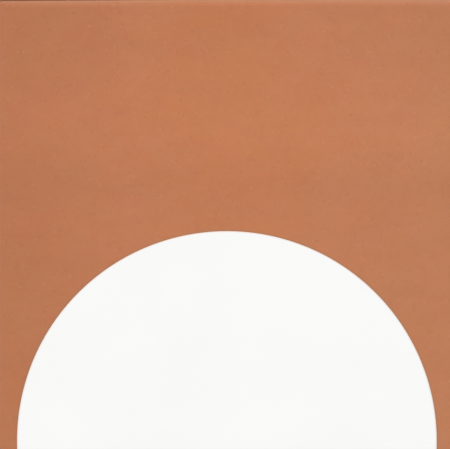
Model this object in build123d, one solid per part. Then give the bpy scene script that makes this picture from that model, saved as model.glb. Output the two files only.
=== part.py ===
"""Square pressed terracotta tile with a half-round field of white glaze on its face.

The tile lies flat, face up. The origin is the middle of its back, +Z points out of the face,
and the half-round field stands on the edge at -Y.
"""

import os
from math import radians, tan

from build123d import *

# Driving dimensions, in millimetres and degrees

# Clay body
tile_side = 200.0  # across the back arris, where the tile is widest
body_thickness = 14.0  # from the back to the bare clay face
corner_radius = 1.5  # upright corners, in plan
side_draft = 1.5  # degrees that the sides lean in towards the face
back_bevel = 0.8  # 45 degree break round the back

# Cushion edge, the soft roll-off round the face
cushion_width = 3.0  # from the flat of the face to the side
cushion_drop = 1.9  # from the flat of the face down to the arris on the side

# Half-round field of glaze
field_radius = 92.0
field_spring = 6.4  # height of the half round's centre above the tile's lower edge
glaze_thickness = 0.35

# Keying grooves in the back
groove_width = 8.0  # at the mouth
groove_depth = 1.5
groove_slope = 20.0  # degrees that the walls lean in from upright
groove_pitch = 18.0
back_border = 15.0  # plain back left round the grooves

# Values worked out from the sizes above
half_side = tile_side / 2
arris_height = body_thickness - cushion_drop
overrun = cushion_width  # how far a cutting shape reaches past what it cuts


def half_width_at(height):
    """Half the width of the drafted tile at a height above its back."""
    return half_side - (height - back_bevel) * tan(radians(side_draft))


def drafted_block(height):
    """The plain block: sides that lean in to the face, and a bevel round the back."""
    outline = Pos(0, 0, back_bevel) * RectangleRounded(tile_side, tile_side, corner_radius)
    sides = extrude(outline, amount=height - back_bevel, taper=side_draft)
    bevel = extrude(outline, amount=back_bevel, dir=(0, 0, -1), taper=45)
    return sides + bevel


def rolled_bar(height):
    """A long bar with quarter-round top edges that pass through the arris line of the tile."""
    drop = height - arris_height
    roll_radius = (cushion_width**2 + drop**2) / (2 * drop)
    half_bar = half_width_at(arris_height) - cushion_width + roll_radius
    section = Rectangle(2 * half_bar, height + overrun, align=(Align.CENTER, Align.MAX))
    section = fillet(section.vertices().group_by(Axis.Y)[-1], roll_radius)
    return Pos(0, 0, height) * extrude(Plane.XZ * section, amount=tile_side, both=True)


def cushioned_slab(height):
    """The block with its face rolled off to the arris on all four sides."""
    bar = rolled_bar(height)
    return drafted_block(height) & bar & Rot(0, 0, 90) * bar


def field_column():
    """An upright column over the glazed field: a half round that runs straight down off the edge."""
    spring = -half_side + field_spring
    foot = -half_side - overrun
    left, right = (-field_radius, spring), (field_radius, spring)
    outline = [
        ThreePointArc(left, (0, spring + field_radius), right),
        Polyline(right, (field_radius, foot), (-field_radius, foot), left),
    ]
    return extrude(make_face(outline), amount=body_thickness + overrun)


def keying_grooves():
    """Round-ended grooves with sloping walls, in rows across the back."""
    length = tile_side - 2 * back_border
    rows = int((length - groove_width) // groove_pitch) + 1
    mouth = SlotOverall(length, groove_width)
    groove = extrude(mouth, amount=groove_depth, taper=groove_slope)
    return GridLocations(1, groove_pitch, 1, rows) * groove


def fired_tile():
    """The whole tile: the clay slab, its glaze, and the grooves in its back."""
    bare = cushioned_slab(body_thickness)
    glaze = cushioned_slab(body_thickness + glaze_thickness) & field_column()
    return bare + glaze - keying_grooves()


tile = fired_tile()
os.makedirs("parts", exist_ok=True)
export_step(tile, "parts/tile.step")
print("tile", tile.bounding_box().size, "volume", round(tile.volume))
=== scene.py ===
# %% [markdown]
# # A square terracotta tile with a half round of white glaze
#
# The real thing is one slab of pressed and fired clay. Its face is smooth and matt, its edges are rolled
# over, and the lower half of the face carries a half round of opaque white glaze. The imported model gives
# the exact slab in metres, lying face up with its back on z = 0. In the cells below, the slab is modelled
# again with the slight unevenness of fired clay, the glaze becomes a coat with a rounded rim of its own,
# both get their finishes, and the camera looks almost straight down on the face.

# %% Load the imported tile
import math

import bpy
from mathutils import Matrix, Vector


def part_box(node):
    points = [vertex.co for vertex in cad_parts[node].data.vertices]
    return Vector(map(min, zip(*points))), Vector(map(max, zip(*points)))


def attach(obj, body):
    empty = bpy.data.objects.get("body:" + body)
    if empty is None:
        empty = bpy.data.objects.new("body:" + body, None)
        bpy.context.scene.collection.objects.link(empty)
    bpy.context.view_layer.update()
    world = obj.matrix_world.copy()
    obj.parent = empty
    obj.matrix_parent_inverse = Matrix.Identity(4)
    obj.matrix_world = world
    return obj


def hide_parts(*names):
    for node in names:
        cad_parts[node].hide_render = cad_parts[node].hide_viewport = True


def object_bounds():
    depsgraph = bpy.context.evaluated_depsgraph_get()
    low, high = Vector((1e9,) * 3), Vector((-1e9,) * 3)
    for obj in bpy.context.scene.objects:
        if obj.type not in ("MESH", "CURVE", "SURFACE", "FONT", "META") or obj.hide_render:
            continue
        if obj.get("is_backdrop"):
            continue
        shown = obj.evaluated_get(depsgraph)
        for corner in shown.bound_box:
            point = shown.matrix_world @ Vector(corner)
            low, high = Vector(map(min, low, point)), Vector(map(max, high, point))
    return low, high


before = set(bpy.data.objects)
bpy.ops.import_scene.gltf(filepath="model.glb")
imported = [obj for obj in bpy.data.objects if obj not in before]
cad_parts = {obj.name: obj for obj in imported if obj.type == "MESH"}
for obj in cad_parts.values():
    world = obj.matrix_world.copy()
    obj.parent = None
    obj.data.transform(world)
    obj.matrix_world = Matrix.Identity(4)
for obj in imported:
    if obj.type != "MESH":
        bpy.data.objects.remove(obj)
cad_low, cad_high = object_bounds()
MM = 0.001


def in_mm(lengths):
    """Lengths in metres as rounded millimetres, to be printed."""
    return [round(length / MM, 2) for length in lengths]


print("CAD box in mm:", in_mm(high - low for low, high in zip(cad_low, cad_high)))

# %% [markdown]
# ## The clay slab
#
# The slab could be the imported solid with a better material, but a solid from CAD is dead flat, and fired
# clay never is. So the slab is modelled again, as by hand: the flat of the face is added as a grid, and
# its border is pulled out and down, ring by ring, over the rolled edge and down the leaning side to the
# back. The grid leaves enough points in the face for the long, low waves that come later.
#
# The first cell works out the edge's section. The roll is part of a circle that starts level with the
# face and stops at the arris, where the side begins.

# %% The section of the edge, from the flat of the face to the back
GLAZE_THICKNESS = 0.35 * MM
BACK_BEVEL = 0.8 * MM
SIDE_LEAN = math.tan(math.radians(1.5))
ROLL_WIDTH = 3.0 * MM
ROLL_DROP = 1.9 * MM
ROLL_STEPS = 10
SIDE_STEPS = 7

half_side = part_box("tile")[1].x
face_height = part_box("tile")[1].z - GLAZE_THICKNESS
arris_height = face_height - ROLL_DROP
arris_half = half_side - (arris_height - BACK_BEVEL) * SIDE_LEAN
flat_half = arris_half - ROLL_WIDTH
roll_radius = (ROLL_WIDTH**2 + ROLL_DROP**2) / (2 * ROLL_DROP)
roll_turn = math.asin(ROLL_WIDTH / roll_radius)

section = []
for step in range(1, ROLL_STEPS + 1):
    turn = roll_turn * step / ROLL_STEPS
    outward = roll_radius * math.sin(turn)
    down = roll_radius * (1 - math.cos(turn))
    section.append((flat_half + outward, face_height - down))
for step in range(1, SIDE_STEPS + 1):
    down = (arris_height - BACK_BEVEL) * step / SIDE_STEPS
    section.append((arris_half + down * SIDE_LEAN, arris_height - down))
section.append((half_side - BACK_BEVEL, 0.0))
print("the edge's section has", len(section), "rings, with the arris at", round(arris_height / MM, 2), "mm")

# %% Add the face as a grid and pull its border down the section
FACE_CELLS = 96

bpy.ops.object.select_all(action="DESELECT")
bpy.ops.mesh.primitive_grid_add(
    x_subdivisions=FACE_CELLS, y_subdivisions=FACE_CELLS, size=2 * flat_half, location=(0, 0, face_height)
)
slab = bpy.context.active_object
slab.name = "terracotta_tile"
bpy.ops.object.transform_apply(location=True, rotation=True, scale=True)
bpy.ops.object.mode_set(mode="EDIT")
bpy.ops.mesh.select_mode(type="EDGE")
bpy.ops.mesh.select_all(action="DESELECT")
bpy.ops.mesh.select_non_manifold()
half, height = flat_half, face_height
for next_half, next_height in section:
    bpy.ops.mesh.extrude_region_move(TRANSFORM_OT_translate={"value": (0, 0, next_height - height)})
    growth = next_half / half
    bpy.ops.transform.resize(value=(growth, growth, 1), center_override=(0, 0, next_height))
    half, height = next_half, next_height
bpy.ops.mesh.edge_face_add()
bpy.ops.object.mode_set(mode="OBJECT")
print("slab:", len(slab.data.polygons), "faces,", in_mm(slab.dimensions), "mm")

# %% [markdown]
# The four upright corners and the mitres above them are still sharp, and a press mould has none so sharp.
# Both lie on the diagonals of the square, so they are easy to pick by their place, and one bevel softens
# them together.

# %% Round the corners
CORNER_RADIUS = 1.5 * MM
CORNER_SEGMENTS = 4
TINY = 1e-6  # metres within which a point counts as being on a line


def select(piece, kind, wanted):
    """Selects the edges or faces of a piece whose points all pass a test, and goes into edit mode."""
    bpy.ops.object.mode_set(mode="EDIT")
    bpy.ops.mesh.select_mode(type=kind)
    bpy.ops.mesh.select_all(action="DESELECT")
    bpy.ops.object.mode_set(mode="OBJECT")
    passed = [wanted(vertex.co) for vertex in piece.data.vertices]
    elements = piece.data.edges if kind == "EDGE" else piece.data.polygons
    for element in elements:
        element.select = all(passed[index] for index in element.vertices)
    chosen = sum(element.select for element in elements)
    bpy.ops.object.mode_set(mode="EDIT")
    return chosen


def on_corner(point):
    """Whether a point lies on an upright corner or on the mitre above it."""
    return abs(abs(point.x) - abs(point.y)) < TINY and abs(point.x) > flat_half - TINY


chosen = select(slab, "EDGE", on_corner)
bpy.ops.mesh.bevel(
    offset=CORNER_RADIUS, offset_type="OFFSET", segments=CORNER_SEGMENTS, affect="EDGES", clamp_overlap=True
)
bpy.ops.mesh.select_all(action="SELECT")
bpy.ops.mesh.normals_make_consistent(inside=False)
bpy.ops.object.mode_set(mode="OBJECT")
print("rounded", chosen, "corner edges; the slab now has", len(slab.data.polygons), "faces")

# %% [markdown]
# ## The back
#
# A pressed tile has shallow grooves in its back, which the adhesive fills and holds on to. Each groove
# has round ends and walls that lean in, so that the tile leaves the mould. One cutter is made from a disc:
# it is pulled up with a taper, and its two halves are moved apart. An Array repeats it up the tile, and a
# Boolean takes all of them out of the back at once.

# %% Shape one groove cutter
GROOVES = 10
GROOVE_WIDTH = 8.0 * MM
GROOVE_DEPTH = 1.5 * MM
GROOVE_PITCH = 18.0 * MM
GROOVE_LEAN = math.tan(math.radians(20))
GROOVE_POINTS = 36
BACK_BORDER = 15.0 * MM
OVERRUN = 0.5 * MM  # how far the cutter starts below the back

mouth_radius = GROOVE_WIDTH / 2 + OVERRUN * GROOVE_LEAN
floor_radius = GROOVE_WIDTH / 2 - GROOVE_DEPTH * GROOVE_LEAN
spread = half_side - BACK_BORDER - GROOVE_WIDTH / 2
first_row = -GROOVE_PITCH * (GROOVES - 1) / 2

bpy.ops.object.select_all(action="DESELECT")
bpy.ops.mesh.primitive_circle_add(
    vertices=GROOVE_POINTS, radius=mouth_radius, fill_type="NGON",
    location=(0, first_row, -OVERRUN), rotation=(0, 0, math.pi / GROOVE_POINTS),
)
cutter = bpy.context.active_object
bpy.ops.object.transform_apply(location=True, rotation=True, scale=True)
bpy.ops.object.mode_set(mode="EDIT")
bpy.ops.mesh.select_all(action="SELECT")
bpy.ops.mesh.extrude_region_move(TRANSFORM_OT_translate={"value": (0, 0, GROOVE_DEPTH + OVERRUN)})
taper = floor_radius / mouth_radius
bpy.ops.transform.resize(value=(taper, taper, 1), center_override=(0, first_row, GROOVE_DEPTH))
for end in (-1, 1):
    select(cutter, "EDGE", lambda point: point.x * end > 0)
    bpy.ops.transform.translate(value=(end * spread, 0, 0))
bpy.ops.mesh.select_all(action="SELECT")
bpy.ops.mesh.normals_make_consistent(inside=False)
bpy.ops.object.mode_set(mode="OBJECT")
print("groove cutter:", in_mm(cutter.dimensions), "mm")

# %% Repeat the cutter and cut the grooves out of the back
rows = cutter.modifiers.new("rows", "ARRAY")
rows.count = GROOVES
rows.use_relative_offset = False
rows.use_constant_offset = True
rows.constant_offset_displace = (0, GROOVE_PITCH, 0)
bpy.ops.object.modifier_apply(modifier="rows")
bpy.ops.object.select_all(action="DESELECT")
bpy.context.view_layer.objects.active = slab
slab.select_set(True)
grooves = slab.modifiers.new("grooves", "BOOLEAN")
grooves.operation = "DIFFERENCE"
grooves.solver = "EXACT"
grooves.object = cutter
bpy.ops.object.modifier_apply(modifier="grooves")
bpy.data.objects.remove(cutter)
print("slab with", GROOVES, "grooves:", len(slab.data.polygons), "faces")

# %% [markdown]
# ## The unevenness of fired clay
#
# Clay moves as it dries. Long, low waves stay in the face, stretched the way it was pressed, and the
# edges wander by a tenth of a millimetre or so. Sculpting would give this too, but not to a measure, so
# both come from Displace modifiers with a cloud pattern. The pattern is read through an empty, so that the
# empty's scale can stretch it along X. A vertex group says where each applies: the waves lift the whole
# face and fade out down the sides, and the wander belongs to the rolled edge and the sides. The back stays
# flat, because the tile stands on it.

# %% How much each place takes part in the waves and in the wander
WAVES_END = 2 * MM  # height on the sides where the waves have died out
WANDER_REACH = 8 * MM  # how far the wander of the edges reaches into the flat
WANDER_END = 1 * MM  # height on the sides where the wander has died out
WANDER_FULL = 5 * MM  # height above which it is full


def ease(value, start, end):
    """0 at start and 1 at end, with a soft rise between them."""
    share = min(max((value - start) / (end - start), 0.0), 1.0)
    return share * share * (3 - 2 * share)


def face_weight(point):
    """How much the waves lift a place: in full on the face, and less and less down the sides."""
    return ease(point.z, WAVES_END, arris_height)


def edge_weight(point):
    """How much the wander moves a place: in full from the roll outwards, and not at the back."""
    from_middle = max(abs(point.x), abs(point.y))
    outward = ease(from_middle, flat_half - WANDER_REACH, flat_half)
    return outward * ease(point.z, WANDER_END, WANDER_FULL)


mid_side = Vector((0, half_side, arris_height / 2))
print("waves half way down a side:", round(face_weight(mid_side), 2))
print("wander half way down a side:", round(edge_weight(mid_side), 2))

# %% Add the waves in the face and the wander of the edges
WAVE_SIZE = 42 * MM
WAVE_HEIGHT = 0.45 * MM
WAVE_STRETCH = (5, 1, 1)
WANDER_SIZE = 16 * MM
WANDER_DEPTH = 0.22 * MM


def weigh(piece, title, weight):
    """Makes a vertex group that has the weight of each point's place."""
    group = piece.vertex_groups.new(name=title)
    for vertex in piece.data.vertices:
        group.add([vertex.index], weight(vertex.co), "REPLACE")
    return group.name


def swell(piece, title, group, size, strength, direction, stretch):
    """Moves a piece's points in or out by a cloud pattern, and applies it."""
    clouds = bpy.data.textures.new(title, "CLOUDS")
    clouds.noise_scale = size
    clouds.noise_depth = 1
    bpy.ops.object.empty_add()
    guide = bpy.context.active_object
    guide.scale = stretch
    moved = piece.modifiers.new(title, "DISPLACE")
    moved.texture = clouds
    moved.texture_coords = "OBJECT"
    moved.texture_coords_object = guide
    moved.direction = direction
    moved.strength = strength
    moved.vertex_group = group
    bpy.ops.object.select_all(action="DESELECT")
    piece.select_set(True)
    bpy.context.view_layer.objects.active = piece
    bpy.ops.object.modifier_apply(modifier=title)
    bpy.data.objects.remove(guide)


swell(slab, "press waves", weigh(slab, "face", face_weight), WAVE_SIZE, WAVE_HEIGHT, "Z", WAVE_STRETCH)
swell(slab, "edge wander", weigh(slab, "edges", edge_weight), WANDER_SIZE, WANDER_DEPTH, "NORMAL", (1, 1, 1))
heights = [
    vertex.co.z
    for vertex in slab.data.vertices
    if vertex.co.z > arris_height and max(abs(vertex.co.x), abs(vertex.co.y)) < flat_half - MM
]
print("the face runs from", round(min(heights) / MM, 3), "to", round(max(heights) / MM, 3), "mm high")

# %% [markdown]
# The far edge isn't quite straight either. Towards its left end it is drawn in by almost half a millimetre,
# the roll with the side. A third Displace, with no pattern, moves the points along Y by their weight alone,
# and the weight runs out inside the flat, where points can slide without a mark.

# %% Draw in the far edge towards its left end
DRAWN_IN = 0.47 * MM
DRAWN_FROM = 15 * MM  # left of the middle, where it begins
DRAWN_FULL = 90 * MM  # left of the middle, where it is full
SLIDE_WIDTH = 12 * MM  # of the flat, over which it runs out


def far_edge_weight(point):
    """How much a place is drawn in: at the far edge only, and more towards its left end."""
    return ease(-point.x, DRAWN_FROM, DRAWN_FULL) * ease(point.y, flat_half - SLIDE_WIDTH, flat_half)


drawn_in = slab.modifiers.new("drawn in", "DISPLACE")
drawn_in.direction = "Y"
drawn_in.mid_level = 0
drawn_in.strength = -DRAWN_IN
drawn_in.vertex_group = weigh(slab, "far edge", far_edge_weight)
bpy.ops.object.modifier_apply(modifier="drawn in")
bpy.ops.object.shade_smooth_by_angle(angle=math.radians(32))
print("slab with its uneven edges:", in_mm(slab.dimensions), "mm")

# %% [markdown]
# ## The white glaze
#
# Glaze goes on as a slurry inside a masked outline and melts to a glassy coat a third of a millimetre
# thick. It levels out over the clay, and its rim draws up into a soft round. A painted mask in the clay's
# material would be quicker, but then the coat would have no thickness and a blurred edge, so it is a
# piece of its own.
#
# The outline starts as a disc that is cut off at its middle. The straight foot is carried down almost to
# the arris of the tile's lower edge. A few insets then give the rim its rings, and cuts in both directions
# divide the inside, so that the coat can follow the clay.

# %% Cut the outline of the coat from a disc
FIELD_RADIUS = 92.0 * MM
FIELD_SPRING = 6.4 * MM  # height of the half round's middle above the lower edge
FOOT_GAP = 0.3 * MM  # from the arris in to the coat's foot
ARC_POINTS = 720
START_HEIGHT = 30 * MM  # well clear of the clay, to be dropped on to it later
CUT_TOLERANCE = 1e-7

spring = -half_side + FIELD_SPRING
foot = -arris_half + FOOT_GAP

bpy.ops.object.select_all(action="DESELECT")
bpy.ops.mesh.primitive_circle_add(
    vertices=ARC_POINTS, radius=FIELD_RADIUS, fill_type="NGON", location=(0, spring, START_HEIGHT)
)
coat = bpy.context.active_object
coat.name = "white_glaze"
bpy.ops.object.transform_apply(location=True, rotation=True, scale=True)
bpy.ops.object.mode_set(mode="EDIT")
bpy.ops.mesh.select_all(action="SELECT")
bpy.ops.mesh.bisect(plane_co=(0, spring, 0), plane_no=(0, 1, 0), clear_inner=True, threshold=CUT_TOLERANCE)
select(coat, "EDGE", lambda point: abs(point.y - spring) < TINY)
bpy.ops.mesh.extrude_region_move(TRANSFORM_OT_translate={"value": (0, foot - spring, 0)})
select(coat, "EDGE", lambda point: abs(point.y - spring) < TINY)
bpy.ops.mesh.dissolve_edges(use_verts=False)
bpy.ops.object.mode_set(mode="OBJECT")
print("outline of the coat:", len(coat.data.vertices), "points in", len(coat.data.polygons), "face")

# %% Inset the rings of the rim
RIM_RINGS = [0.05, 0.12, 0.22, 0.36, 0.6, 1.0, 1.5, 2.2, 3.2]  # millimetres in from the outline

bpy.ops.object.mode_set(mode="EDIT")
bpy.ops.mesh.select_mode(type="FACE")
bpy.ops.mesh.select_all(action="SELECT")
inset = 0.0
for ring in RIM_RINGS:
    bpy.ops.mesh.inset(thickness=ring * MM - inset, depth=0)
    inset = ring * MM
bpy.ops.object.mode_set(mode="OBJECT")
print("rim:", len(RIM_RINGS), "rings,", len(coat.data.polygons), "faces")

# %% Divide the inside and the straight part of the rim
CELL = 2.0 * MM
RIM_MARGIN = 1.01  # takes in the innermost ring itself

rim_depth = RIM_RINGS[-1] * MM


def on_arc(point):
    """Whether a point lies on the curved part of the rim."""
    from_middle = math.hypot(point.x, point.y - spring)
    return point.y > spring - TINY and from_middle > FIELD_RADIUS - RIM_MARGIN * rim_depth


def cut_across(middle, normal):
    """Cuts all that is not hidden along a plane."""
    bpy.ops.mesh.select_all(action="SELECT")
    bpy.ops.mesh.bisect(plane_co=middle, plane_no=normal, threshold=CUT_TOLERANCE)


inner = max(coat.data.polygons, key=lambda face: face.area).index
select(coat, "FACE", on_arc)
bpy.ops.object.mode_set(mode="OBJECT")
coat.data.polygons[inner].select = False
bpy.ops.object.mode_set(mode="EDIT")
bpy.ops.mesh.hide(unselected=False)
columns = int(FIELD_RADIUS // CELL)
for column in range(-columns, columns + 1):
    cut_across((column * CELL, 0, 0), (1, 0, 0))
for row in range(1, int((spring + FIELD_RADIUS - foot) // CELL) + 1):
    cut_across((0, foot + row * CELL, 0), (0, 1, 0))
bpy.ops.mesh.reveal()
bpy.ops.object.mode_set(mode="OBJECT")
print("divided coat:", len(coat.data.polygons), "faces")

# %% [markdown]
# The sheet is now dropped straight down on to the clay with a Shrinkwrap, which gives it every wave of
# the face and the roll of the lower edge, and it is sunk in by a hair. A Displace then raises it by weight,
# ring by ring: nothing at the outline, which stays in the clay, the full thickness inside, and a shade more
# just inside the rim, where melted glaze draws together. Solidify closes it underneath, inside the clay.

# %% Drop the coat on the clay
SINK = 0.06 * MM

drop_on = coat.modifiers.new("drop on", "SHRINKWRAP")
drop_on.target = slab
drop_on.wrap_method = "PROJECT"
drop_on.use_project_z = True
drop_on.use_negative_direction = True
drop_on.use_positive_direction = False
bpy.ops.object.modifier_apply(modifier="drop on")
bpy.ops.object.mode_set(mode="EDIT")
bpy.ops.mesh.select_all(action="SELECT")
bpy.ops.transform.translate(value=(0, 0, -SINK))
bpy.ops.object.mode_set(mode="OBJECT")
print("the coat lies on the clay, with", round(coat.dimensions.z / MM, 2), "mm of fall over the edge")

# %% Raise the coat to its thickness and close it
RIM_WIDTH = 0.6  # millimetres over which the rim rounds up to the full thickness
RIM_SWELL = 0.03 * MM  # how much thicker the coat is just inside its rim
SWELL_MIDDLE = 1.2  # millimetres in from the outline
SWELL_WIDTH = 0.7  # millimetres to each side of that
COAT_DEPTH = 0.5 * MM  # from its surface down to its underside, which is in the clay

full_height = GLAZE_THICKNESS + SINK + RIM_SWELL


def inside_outline(point):
    """Millimetres from a place on the coat to the nearest part of its outline."""
    from_arc = FIELD_RADIUS - math.hypot(point.x, max(point.y - spring, 0.0))
    return min(from_arc, point.y - foot) / MM


def coat_weight(point):
    """The share of the full height to which the coat is raised at a place."""
    distance = inside_outline(point)
    share = min(distance / RIM_WIDTH, 1.0)
    rounded = math.sqrt(max(1 - (1 - share) ** 2, 0.0))
    drawn_up = RIM_SWELL * math.exp(-(((distance - SWELL_MIDDLE) / SWELL_WIDTH) ** 2))
    return ((GLAZE_THICKNESS + SINK) * rounded + drawn_up) / full_height


raised = coat.modifiers.new("raised", "DISPLACE")
raised.direction = "Z"
raised.mid_level = 0
raised.strength = full_height
raised.vertex_group = weigh(coat, "coat", coat_weight)
bpy.ops.object.modifier_apply(modifier="raised")
under = coat.modifiers.new("under", "SOLIDIFY")
under.thickness = COAT_DEPTH
under.offset = -1
bpy.ops.object.modifier_apply(modifier="under")
bpy.ops.object.mode_set(mode="EDIT")
bpy.ops.mesh.select_all(action="SELECT")
bpy.ops.mesh.normals_make_consistent(inside=False)
bpy.ops.object.mode_set(mode="OBJECT")
bpy.ops.object.shade_smooth_by_angle(angle=math.radians(60))
print("white glaze:", len(coat.data.polygons), "faces,", in_mm(coat.dimensions), "mm")

# %% [markdown]
# ## Effects that both finishes share
#
# Both finishes are built from nodes that read Object coordinates, in metres, so a pattern has a real
# size and stays where it is on the tile. Two effects are needed by both, so they are node groups: the
# distance from the half round's outline, and small ragged pits, which are pores and specks in the clay and
# pinholes in the glaze. Adding nodes by script is wordy, so short helpers come first.

# %% Helpers that add nodes and fill their sockets


def fill(tree, socket, value):
    """Links a socket to another node's output, or sets a plain value on it."""
    if isinstance(value, bpy.types.NodeSocket):
        tree.links.new(value, socket)
    else:
        socket.default_value = value


def add(tree, kind, label, **inputs):
    """Adds a node and fills its inputs by name, with an underscore for each space."""
    node = tree.nodes.new(kind)
    node.label = label
    for title, value in inputs.items():
        fill(tree, node.inputs[title.replace("_", " ")], value)
    return node


def calc(tree, label, operation, *values):
    """The answer of a Math node."""
    node = tree.nodes.new("ShaderNodeMath")
    node.label = label
    node.operation = operation
    for socket, value in zip(node.inputs, values):
        fill(tree, socket, value)
    return node.outputs[0]


def new_group(title, inputs, output):
    """A shader node group with float sockets, apart from Vector, and its two ends."""
    tree = bpy.data.node_groups.new(title, "ShaderNodeTree")
    for name in inputs:
        kind = "NodeSocketVector" if name == "Vector" else "NodeSocketFloat"
        tree.interface.new_socket(name, in_out="INPUT", socket_type=kind)
    tree.interface.new_socket(output, in_out="OUTPUT", socket_type="NodeSocketFloat")
    return tree, tree.nodes.new("NodeGroupInput").outputs, tree.nodes.new("NodeGroupOutput").inputs


print("helpers:", ", ".join(helper.__name__ for helper in (fill, add, calc, new_group)))

# %% The distance from the half round's outline, in millimetres, below zero inside it
outline_group, given, answer = new_group("half round distance", ["Vector"], "Distance")
axes = add(outline_group, "ShaderNodeSeparateXYZ", "place on each axis", Vector=given["Vector"]).outputs
above = calc(outline_group, "above the spring", "SUBTRACT", axes["Y"], spring)
above = calc(outline_group, "straight down below it", "MAXIMUM", above, 0.0)
squares = calc(outline_group, "height squared", "MULTIPLY", above, above)
squares = calc(outline_group, "and width squared", "MULTIPLY_ADD", axes["X"], axes["X"], squares)
reach = calc(outline_group, "from the middle", "SQRT", squares)
past = calc(outline_group, "past the outline", "SUBTRACT", reach, FIELD_RADIUS)
fill(outline_group, answer["Distance"], calc(outline_group, "in millimetres", "DIVIDE", past, MM))
print("group:", outline_group.name, "with", len(outline_group.nodes), "nodes")

# %% [markdown]
# A pit lies in the middle of some of the cells of a Voronoi pattern. The pattern's own random colours are
# the draws: red says whether a cell has a pit, and green how large it is. A finer noise shoves the pattern
# about, so that the pits aren't round.

# %% Pores, specks and pinholes
SHOVE_FINENESS = 2.5  # how much finer the shoving noise is than the cells
SHOVE_REACH = 0.5  # of a cell


def between(tree, label, value, low, high, at_low, at_high):
    """Carries a value from one range to another, with a soft start and end."""
    node = add(tree, "ShaderNodeMapRange", label, Value=value, From_Min=low, From_Max=high)
    node.interpolation_type = "SMOOTHSTEP"
    fill(tree, node.inputs["To Min"], at_low)
    fill(tree, node.inputs["To Max"], at_high)
    return node.outputs["Result"]


pit_group, given, answer = new_group("pits", ["Vector", "Cells per metre", "Radius", "Share"], "Pit")
fine = calc(pit_group, "finer than the cells", "MULTIPLY", given["Cells per metre"], SHOVE_FINENESS)
shove = add(pit_group, "ShaderNodeTexNoise", "shove", Vector=given["Vector"], Scale=fine).outputs["Color"]
reach = calc(pit_group, "part of a cell", "DIVIDE", SHOVE_REACH, given["Cells per metre"])
shoved = add(pit_group, "ShaderNodeVectorMath", "shoved about")
shoved.operation = "MULTIPLY_ADD"
for socket, value in zip(shoved.inputs, (shove, reach, given["Vector"])):
    fill(pit_group, socket, value)
cells = add(
    pit_group, "ShaderNodeTexVoronoi", "cells", Vector=shoved.outputs[0], Scale=given["Cells per metre"]
)
draws = add(pit_group, "ShaderNodeSeparateColor", "a cell's draws", Color=cells.outputs["Color"]).outputs
radius = calc(pit_group, "large or small", "MULTIPLY", draws["Green"], given["Radius"])
hollow = between(pit_group, "hollow", cells.outputs["Distance"], 0.0, radius, 1.0, 0.0)
kept = calc(pit_group, "cells with a pit", "LESS_THAN", draws["Red"], given["Share"])
fill(pit_group, answer["Pit"], calc(pit_group, "pits", "MULTIPLY", hollow, kept))
print("group:", pit_group.name, "with", len(pit_group.nodes), "nodes")

# %% [markdown]
# ## The terracotta finish
#
# The clay's colour is even, but not flat. From left to right it goes from a darker, browner tone over a
# warmer one to a slightly pinker one. Soft lighter and darker bands lie across it. A single noise couldn't
# be told where to be dark, so one colour ramp runs across the tile and another runs up it. Noise makes
# both waver, so that no band is straight.

# %% Clay: where each point lies and which way it faces
clay = bpy.data.materials.new("fired clay")
clay.use_nodes = True
tree = clay.node_tree
clay_shader = tree.nodes["Principled BSDF"]
coordinates = add(tree, "ShaderNodeTexCoord", "place and facing").outputs
place = coordinates["Object"]
axes = add(tree, "ShaderNodeSeparateXYZ", "place on each axis", Vector=place).outputs
facing = add(tree, "ShaderNodeSeparateXYZ", "facing", Vector=coordinates["Normal"]).outputs
on_sides = between(tree, "sides and back", facing["Z"], 0.15, 0.45, 1.0, 0.0)
on_back = between(tree, "back", facing["Z"], -0.8, -0.4, 1.0, 0.0)
on_face = calc(tree, "face", "SUBTRACT", 1.0, on_sides)
print("clay masks:", len(tree.nodes), "nodes")

# %% Helpers for noise and colour


def noise(tree, label, vector, size, detail=2.0, roughness=0.5, stretch=(1, 1, 1), kind="Fac"):
    """Cloudy noise with spots about size metres across, drawn out along each axis by stretch."""
    scale = [1 / (size * drawn_out) for drawn_out in stretch]
    sized = add(tree, "ShaderNodeMapping", label + " size", Vector=vector, Scale=scale).outputs[0]
    cloudy = add(tree, "ShaderNodeTexNoise", label, Vector=sized, Detail=detail, Roughness=roughness)
    cloudy.inputs["Scale"].default_value = 1.0
    return cloudy.outputs[kind]


def mix(tree, label, amount, first, second, blend="MIX"):
    """Blends two colours."""
    node = tree.nodes.new("ShaderNodeMix")
    node.label = label
    node.data_type = "RGBA"
    node.blend_type = blend
    for index, value in ((0, amount), (6, first), (7, second)):
        fill(tree, node.inputs[index], value)
    return node.outputs[2]


def tint(tree, label, colour, by):
    """Multiplies a colour by another colour or by a level."""
    return mix(tree, label, 1.0, colour, by, "MULTIPLY")


def ramp(tree, label, value, stops):
    """A smooth run of colours through stops, each a place from 0 to 1 and a colour."""
    node = add(tree, "ShaderNodeValToRGB", label, Fac=value)
    node.color_ramp.interpolation = "CARDINAL"
    elements = node.color_ramp.elements
    for element, (at, colour) in zip(elements, (stops[0], stops[-1])):
        element.position = at
        element.color = (*colour, 1)
    for at, colour in stops[1:-1]:
        elements.new(at).color = (*colour, 1)
    return node.outputs["Color"]


print("helpers:", ", ".join(helper.__name__ for helper in (noise, mix, tint, ramp)))

# %% Clay: tones across the tile and bands up it
TONES = [
    (0.02, (0.485, 0.1695, 0.0690)),
    (0.24, (0.518, 0.1820, 0.0758)),
    (0.50, (0.533, 0.1870, 0.0745)),
    (0.70, (0.533, 0.1910, 0.0797)),
    (0.98, (0.521, 0.1930, 0.0838)),
]
BANDS = [(0.02, 0.975), (0.34, 0.96), (0.5, 0.97), (0.6, 0.95), (0.7, 1.0), (0.82, 0.98), (0.97, 0.937)]
TONE_DRIFT = 0.16  # how far the tones waver, as a share of the tile's side
BAND_SWAY = 0.12  # the same for the bands


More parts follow.
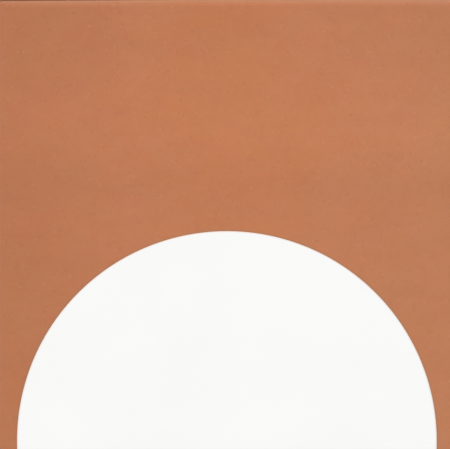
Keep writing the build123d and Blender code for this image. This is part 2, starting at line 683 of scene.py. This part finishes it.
def wavering_run(label, axis, waver, amount):
    """A run from 0 to 1 along one axis of the tile that a noise moves to and fro."""
    run = calc(tree, label, "MULTIPLY_ADD", axis, 0.5 / half_side, 0.5 - amount / 2)
    return calc(tree, label + ", wavering", "MULTIPLY_ADD", waver, amount, run)


drift = noise(tree, "drift of the tones", place, 50 * MM, 1.0, stretch=(1, 1.5, 1))
across = wavering_run("left to right", axes["X"], drift, TONE_DRIFT)
tone = ramp(tree, "tones across the tile", across, TONES)
sway = noise(tree, "sway of the bands", place, 45 * MM, stretch=(1.6, 0.7, 1))
upwards = wavering_run("foot to head", axes["Y"], sway, BAND_SWAY)
bands = ramp(tree, "soft bands up the tile", upwards, [(at, (level,) * 3) for at, level in BANDS])
face = tint(tree, "toned bands", tone, bands)
print("the face has", len(TONES), "tones and", len(BANDS), "band stops")

# %% [markdown]
# Under the bands there are faint patches and a fine grain. They are noises of three sizes that only lighten
# and darken. A fourth noise changes the hue. Two of its colour channels are used, which don't depend on
# each other: one makes the clay redder or greyer, and the other pinker or yellower.

# %% Clay: patches, grain and hue
SPOTS = [  # label, size, depth of light and dark, stretch
    ("patches", 11 * MM, 0.11, (2.2, 1, 1)),
    ("mottle", 3.5 * MM, 0.07, (1, 1, 1)),
    ("grain", 1.1 * MM, 0.05, (1, 1, 1)),
]
LIGHT_BASE = 0.886  # to which each noise adds about half its depth
HUES = [  # channel, label, the two tints
    ("Red", "greyer or redder", (0.9955, 1.023, 1.030, 1), (1.0045, 0.977, 0.970, 1)),
    ("Green", "yellower or pinker", (0.9975, 1.0, 0.959, 1), (1.0025, 1.0, 1.042, 1)),
]

light = LIGHT_BASE
for label, size, depth, stretch in SPOTS:
    spots = noise(tree, label, place, size, stretch=stretch)
    light = calc(tree, "light with " + label, "MULTIPLY_ADD", spots, depth, light)
face = tint(tree, "light and dark", face, light)

hue_noise = noise(tree, "hues", place, 20 * MM, 4.0, 0.9, (1.6, 1, 1), "Color")
channels = add(tree, "ShaderNodeSeparateColor", "two hues", Color=hue_noise).outputs
for channel, label, low_tint, high_tint in HUES:
    share = between(tree, label, channels[channel], 0.35, 0.65, 0.0, 1.0)
    face = tint(tree, "face, " + label, face, mix(tree, label, share, low_tint, high_tint))
print("the face has", len(SPOTS), "sizes of spots and", len(HUES), "changes of hue")

# %% [markdown]
# Close to, the face has fine marks: short, crooked scratches from wiping and from sand in the clay, each
# with a hollow and a burr beside it. They get a faint relief, and their colour is painted darker along the
# hollow, as painted shade, and paler along the burr, as a painted highlight. A line is found where a cloudy
# noise passes a level, so two levels give two lines side by side. A second noise keeps only some stretches
# of them.

# %% Clay: fine marks in the face
HOLLOW_LEVEL = 0.47
BURR_LEVEL = 0.55
LINE_WIDTH = 0.04  # in levels of the noise
MARK_SHADING = 0.055

passing = noise(tree, "crooked lines", place, 4.5 * MM, 3.0, 0.6)
lines = []
for label, level in (("hollow", HOLLOW_LEVEL), ("burr", BURR_LEVEL)):
    off_line = calc(tree, "off the " + label, "ABSOLUTE", calc(tree, label, "SUBTRACT", passing, level))
    lines.append(between(tree, "thin " + label, off_line, 0.0, LINE_WIDTH, 1.0, 0.0))
stretches = between(tree, "some stretches", noise(tree, "stretches", place, 3 * MM), 0.52, 0.62, 0.0, 1.0)
marks = calc(tree, "burr less hollow", "SUBTRACT", lines[1], lines[0])
marks = calc(tree, "marks", "MULTIPLY", marks, stretches)
# The marks' colour is painted shade along the hollow and a painted highlight along the burr.
face = tint(tree, "with marks", face, calc(tree, "painted shade and highlight", "MULTIPLY_ADD", marks, MARK_SHADING, 1.0))
print("the marks are", len(lines), "lines side by side")

# %% [markdown]
# Next to the glaze, a thin line of clay is painted greyer: painted shade at the glaze's edge. The rolled
# edge is painted paler as a sheen, a little all round and most of all at the far side, which faces the
# lamp. The sides are painted much darker than the face, as painted shade, and darkest towards the back;
# they are also streaked by the mould and crumbly. The back is coarse, and pale with the dust of the kiln
# shelf. Specks of pale and dark sand are in all of the clay. They are faint in the pressed face, and
# plainer on the sides and the back.

# %% Clay: painted shade by the glaze and painted sheen on the rolled edge
GLAZE_EDGE_SHADE_TINT = (0.9, 1.0, 1.1, 1)
EDGE_SHEEN = (0.60, 0.36, 0.25, 1)


def use_group(tree, group, **inputs):
    """A node group's answer, with its inputs filled by name."""
    node = tree.nodes.new("ShaderNodeGroup")
    node.node_tree = group
    for title, value in inputs.items():
        fill(tree, node.inputs[title.replace("_", " ")], value)
    return node.outputs[0]


from_outline = use_group(tree, outline_group, Vector=place)
# A thin line of clay just outside the glaze is painted greyer, as painted shade at the glaze's edge.
glaze_edge_shade = between(tree, "painted shade at the glaze", from_outline, 0.4, 1.4, on_face, 0.0)
face = mix(tree, "with the painted shade at the glaze", glaze_edge_shade, face, tint(tree, "greyer", face, GLAZE_EDGE_SHADE_TINT))
# The rolled edge is painted paler as a sheen: a little all round, most at the far side facing the lamp.
sheen_toward_lamp = between(tree, "most at the far side", facing["Y"], 0.0, 0.4, 0.06, 0.18)
edge_sheen = between(tree, "painted edge sheen", facing["Z"], 0.6, 0.93, sheen_toward_lamp, 0.0)
face = mix(tree, "paler edge, painted sheen", edge_sheen, face, EDGE_SHEEN)
print("clay face:", len(tree.nodes), "nodes")

# %% Clay: the sides and the back
# The sides are painted much darker than the face, as painted shade, darkest towards the back.
SIDE_SHADE_LEVELS = (0.28, 0.38)  # of the face's colour, at the back and at the arris
STREAK_DEPTH = 0.08
CRUMB_DEPTH = 0.24
DUST = (0.56, 0.31, 0.2, 1)

streaks = noise(tree, "mould streaks", place, 1.8 * MM, stretch=(14, 14, 1))
crumbs = noise(tree, "crumbs", place, 2.6 * MM, 5.0, 0.7)
# Painted shade on the sides, darker towards the back, with real mould streaks and crumbs on top.
side_shade_and_streaks = between(tree, "painted shade, darker to the back", axes["Z"], 0.5 * MM, arris_height, *SIDE_SHADE_LEVELS)
side_shade_and_streaks = calc(tree, "streaked", "MULTIPLY_ADD", streaks, STREAK_DEPTH, side_shade_and_streaks)
side_shade_and_streaks = calc(tree, "crumbly", "MULTIPLY_ADD", crumbs, CRUMB_DEPTH, side_shade_and_streaks)
colour = mix(tree, "sides", on_sides, face, tint(tree, "side", face, side_shade_and_streaks))
dust = between(tree, "dust cover", noise(tree, "dust", place, 18 * MM, 4.0), 0.35, 0.7, 0.25, 0.7)
colour = mix(tree, "back", on_back, colour, mix(tree, "dusty", dust, tone, DUST))
print("clay face, sides and back:", len(tree.nodes), "nodes")

# %% Clay: pale and dark specks
SPECKS = [("pale specks", 450, (0.62, 0.36, 0.22, 1)), ("dark specks", 400, (0.2, 0.08, 0.05, 1))]
SPECKS_ON_FACE = 0.2
SPECKS_ON_SIDES = 0.4

more_on_sides = SPECKS_ON_SIDES - SPECKS_ON_FACE
show = calc(tree, "specks show more on the sides", "MULTIPLY_ADD", on_sides, more_on_sides, SPECKS_ON_FACE)
for label, cells_per_metre, speck_colour in SPECKS:
    specks = use_group(
        tree, pit_group, Vector=place, Cells_per_metre=cells_per_metre, Radius=0.4, Share=0.3
    )
    specks = calc(tree, label, "MULTIPLY", specks, show)
    colour = mix(tree, "with " + label, specks, colour, speck_colour)
fill(tree, clay_shader.inputs["Base Color"], colour)
print("clay colours:", len(tree.nodes), "nodes")

# %% [markdown]
# The face is pressed smooth, so its relief is only a hint of grain. Sides and back are open and rough,
# with pores and with drag marks along the sides, and they have no shine.

# %% Clay: roughness, shine and relief
SHINE = 0.35
RELIEF = 0.05 * MM

rough_patches = noise(tree, "rough patches", place, 6 * MM, 3.0)
rough = between(tree, "roughness of the face", rough_patches, 0.3, 0.7, 0.5, 0.6)
rough = calc(tree, "rougher sides and back", "MULTIPLY_ADD", on_sides, 0.4, rough)
fill(tree, clay_shader.inputs["Roughness"], rough)
shine = calc(tree, "no shine on the open sides", "MULTIPLY", on_face, SHINE)
fill(tree, clay_shader.inputs["Specular IOR Level"], shine)

coarse = noise(tree, "coarse skin", place, 1.6 * MM, 4.0, 0.65)
coarseness = calc(tree, "coarser sides", "MULTIPLY_ADD", on_sides, 14.0, 0.8)
pores = use_group(tree, pit_group, Vector=place, Cells_per_metre=420, Radius=0.5, Share=0.3)
openness = calc(tree, "open pores on the sides", "MULTIPLY_ADD", on_sides, -6.0, -0.1)
surface = calc(tree, "pores", "MULTIPLY", pores, openness)
surface = calc(tree, "skin", "MULTIPLY_ADD", coarse, coarseness, surface)
surface = calc(tree, "drag marks", "MULTIPLY_ADD", streaks, on_sides, surface)
surface = calc(tree, "fine marks", "MULTIPLY_ADD", marks, 0.3, surface)
relief = add(tree, "ShaderNodeBump", "relief", Strength=1.0, Distance=RELIEF, Height=surface)
fill(tree, clay_shader.inputs["Normal"], relief.outputs["Normal"])
slab.data.materials.clear()
slab.data.materials.append(clay)
print(clay.name, "has", len(tree.nodes), "nodes")

# %% [markdown]
# ## The white finish
#
# The glaze is opaque and nearly white, with a satin gloss. Its tone clouds by about a hundredth, and a few
# pinholes were left where gas came out of the clay. Where it is thin, the clay warms it: in the last
# millimetre at its rim, and where it rolls over the tile's lower edge. That needs no second material,
# because the distance from the outline and the height above the back say where it is thin.

# %% Glaze: colour
WHITE = (0.943, 0.941, 0.935, 1)
CLOUDED = (0.933, 0.931, 0.924, 1)
THIN = (0.66, 0.42, 0.29, 1)
RAGGED_HEIGHT = 1.2 * MM
THIN_FROM = 1.0 * MM  # above the arris, with the raggedness
THIN_TO = 2.4 * MM

glaze = bpy.data.materials.new("white glaze")
glaze.use_nodes = True
tree = glaze.node_tree
glaze_shader = tree.nodes["Principled BSDF"]
place = add(tree, "ShaderNodeTexCoord", "place").outputs["Object"]
axes = add(tree, "ShaderNodeSeparateXYZ", "place on each axis", Vector=place).outputs
clouding = between(tree, "clouding", noise(tree, "clouds", place, 30 * MM), 0.3, 0.7, 0.0, 1.0)
white = mix(tree, "white", clouding, CLOUDED, WHITE)
from_outline = use_group(tree, outline_group, Vector=place)
thin_rim = between(tree, "thin at the rim", from_outline, -0.9, 0.1, 0.0, 0.4)
ragged = noise(tree, "ragged", place, 4 * MM, 3.0)
ragged_place = calc(tree, "ragged height", "MULTIPLY_ADD", ragged, RAGGED_HEIGHT, axes["Z"])
thin_low, thin_high = arris_height + THIN_FROM, arris_height + THIN_TO
thin_foot = between(tree, "thin on the arris", ragged_place, thin_low, thin_high, 0.85, 0.0)
thin = calc(tree, "thin", "MAXIMUM", thin_rim, thin_foot)
fill(tree, glaze_shader.inputs["Base Color"], mix(tree, "clay shows through", thin, white, THIN))
print("glaze colours:", len(tree.nodes), "nodes")

# %% Glaze: gloss, pinholes and ripple
GLOSS = 0.25
RIPPLE = 0.18  # as a share of a pinhole's depth
PINHOLE_DEPTH = 0.03 * MM

rough_patches = noise(tree, "gloss patches", place, 12 * MM, 3.0)
rough = between(tree, "satin", rough_patches, 0.3, 0.7, 0.48, 0.58)
fill(tree, glaze_shader.inputs["Roughness"], rough)
glaze_shader.inputs["Specular IOR Level"].default_value = GLOSS
pinholes = use_group(tree, pit_group, Vector=place, Cells_per_metre=140, Radius=0.07, Share=0.3)
ripple = calc(tree, "ripple", "MULTIPLY", noise(tree, "orange peel", place, 3.5 * MM, 1.0), RIPPLE)
surface = calc(tree, "surface", "SUBTRACT", ripple, pinholes)
relief = add(tree, "ShaderNodeBump", "relief", Strength=1.0, Distance=PINHOLE_DEPTH, Height=surface)
fill(tree, glaze_shader.inputs["Normal"], relief.outputs["Normal"])
coat.data.materials.clear()
coat.data.materials.append(glaze)
print(glaze.name, "has", len(tree.nodes), "nodes")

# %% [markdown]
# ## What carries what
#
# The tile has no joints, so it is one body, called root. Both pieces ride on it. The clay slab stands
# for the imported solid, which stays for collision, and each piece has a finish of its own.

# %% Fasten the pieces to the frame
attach(slab, "root")
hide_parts("tile")
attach(coat, "root")
print("pieces:", slab.name, "and", coat.name)

# %% [markdown]
# ## Floor, light and camera
#
# The tile lies on a plain pale floor. The photograph has soft light from all round, and a little more of
# it from beyond the upper edge, where the rolled edge shines. So an even sky gives the general level, and
# one large soft lamp far beyond the upper edge adds the rest. Together they make a colour come out about
# as it is written.

# %% Lay the floor
FLOOR_SIDE = 6.0
PAPER = (0.76, 0.76, 0.75, 1)
PALE_PAPER = (0.8, 0.8, 0.79, 1)

bpy.ops.object.select_all(action="DESELECT")
bpy.ops.mesh.primitive_plane_add(size=FLOOR_SIDE)
floor = bpy.context.active_object
floor.name = "floor"
paper = bpy.data.materials.new("pale paper")
paper.use_nodes = True
tree = paper.node_tree
paper_shader = tree.nodes["Principled BSDF"]
place = add(tree, "ShaderNodeTexCoord", "place").outputs["Object"]
fibres = noise(tree, "fibres", place, 20 * MM)
fill(tree, paper_shader.inputs["Base Color"], mix(tree, "paper", fibres, PAPER, PALE_PAPER))
paper_shader.inputs["Roughness"].default_value = 0.9
floor.data.materials.append(paper)
floor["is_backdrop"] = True
print("floor of", FLOOR_SIDE, "m")

# %% Light the sky and hang the lamp
SKY_LEVEL = 0.885
LAMP_LEVEL = 0.17  # about what the lamp adds to a white surface that lies flat
LAMP_DISTANCE = 3.2
LAMP_SIZE = 3.6
LAMP_HEIGHT = math.radians(34)
LAMP_SIDE = math.radians(-14)

sky = bpy.data.worlds.new("sky")
sky.use_nodes = True
background = sky.node_tree.nodes["Background"]
background.inputs["Color"].default_value = (1, 1, 1, 1)
background.inputs["Strength"].default_value = SKY_LEVEL
bpy.context.scene.world = sky

level_reach = LAMP_DISTANCE * math.cos(LAMP_HEIGHT)
lamp_place = (
    level_reach * math.sin(LAMP_SIDE),
    level_reach * math.cos(LAMP_SIDE),
    LAMP_DISTANCE * math.sin(LAMP_HEIGHT),
)
lamp_turn = (LAMP_HEIGHT - math.pi / 2, 0, -LAMP_SIDE)
bpy.ops.object.light_add(type="AREA", location=lamp_place, rotation=lamp_turn)
lamp = bpy.context.active_object
lamp.name = "soft lamp"
lamp.data.shape = "DISK"
lamp.data.size = LAMP_SIZE
# P watts at a distance d light a white surface that faces the lamp to a level of P / (pi * d)**2.
lamp.data.energy = math.pi**2 * LAMP_LEVEL * LAMP_DISTANCE**2 / math.sin(LAMP_HEIGHT)
print("lamp of", round(lamp.data.energy, 1), "W, sky at", SKY_LEVEL)

# %% [markdown]
# The photograph looks almost straight down from far off. Its frame is a little smaller than the tile, so
# the right and lower edges fall outside it. The camera stands a few degrees beyond the upper edge, so a
# sliver of the upper side, painted dark as shade, shows in the top of the frame at the left, where that
# edge is drawn in. The half round's middle and radius were measured in the 450 by 449 pixels, and they
# set the camera's place and the width that it takes in.

# %% Set up the camera
IMAGE_WIDTH, IMAGE_HEIGHT = 450, 449
MIDDLE_ACROSS, MIDDLE_DOWN = 226.9, 441.05
RADIUS_PIXELS = 210.1
CAMERA_DISTANCE = 6.0
CAMERA_TILT = math.radians(2.5)

pixel = FIELD_RADIUS / RADIUS_PIXELS
aim = Vector((
    (IMAGE_WIDTH / 2 - MIDDLE_ACROSS) * pixel,
    spring + (MIDDLE_DOWN - IMAGE_HEIGHT / 2) * pixel / math.cos(CAMERA_TILT),
    face_height,
))
camera_data = bpy.data.cameras.new("camera")
camera_data.sensor_width = 36
camera_data.lens = camera_data.sensor_width * CAMERA_DISTANCE / (IMAGE_WIDTH * pixel)
camera = bpy.data.objects.new("camera", camera_data)
bpy.context.scene.collection.objects.link(camera)
camera.rotation_euler = (-CAMERA_TILT, 0, 0)
camera.location = aim + camera.rotation_euler.to_matrix() @ Vector((0, 0, CAMERA_DISTANCE))
bpy.context.scene.camera = camera
bpy.context.scene.view_settings.view_transform = "Standard"
print("lens", round(camera_data.lens), "mm;", round(pixel / MM, 4), "mm to the pixel")

# %% Print the size of the visual box
new_low, new_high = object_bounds()
print("visual box in mm:", in_mm(high - low for low, high in zip(new_low, new_high)))
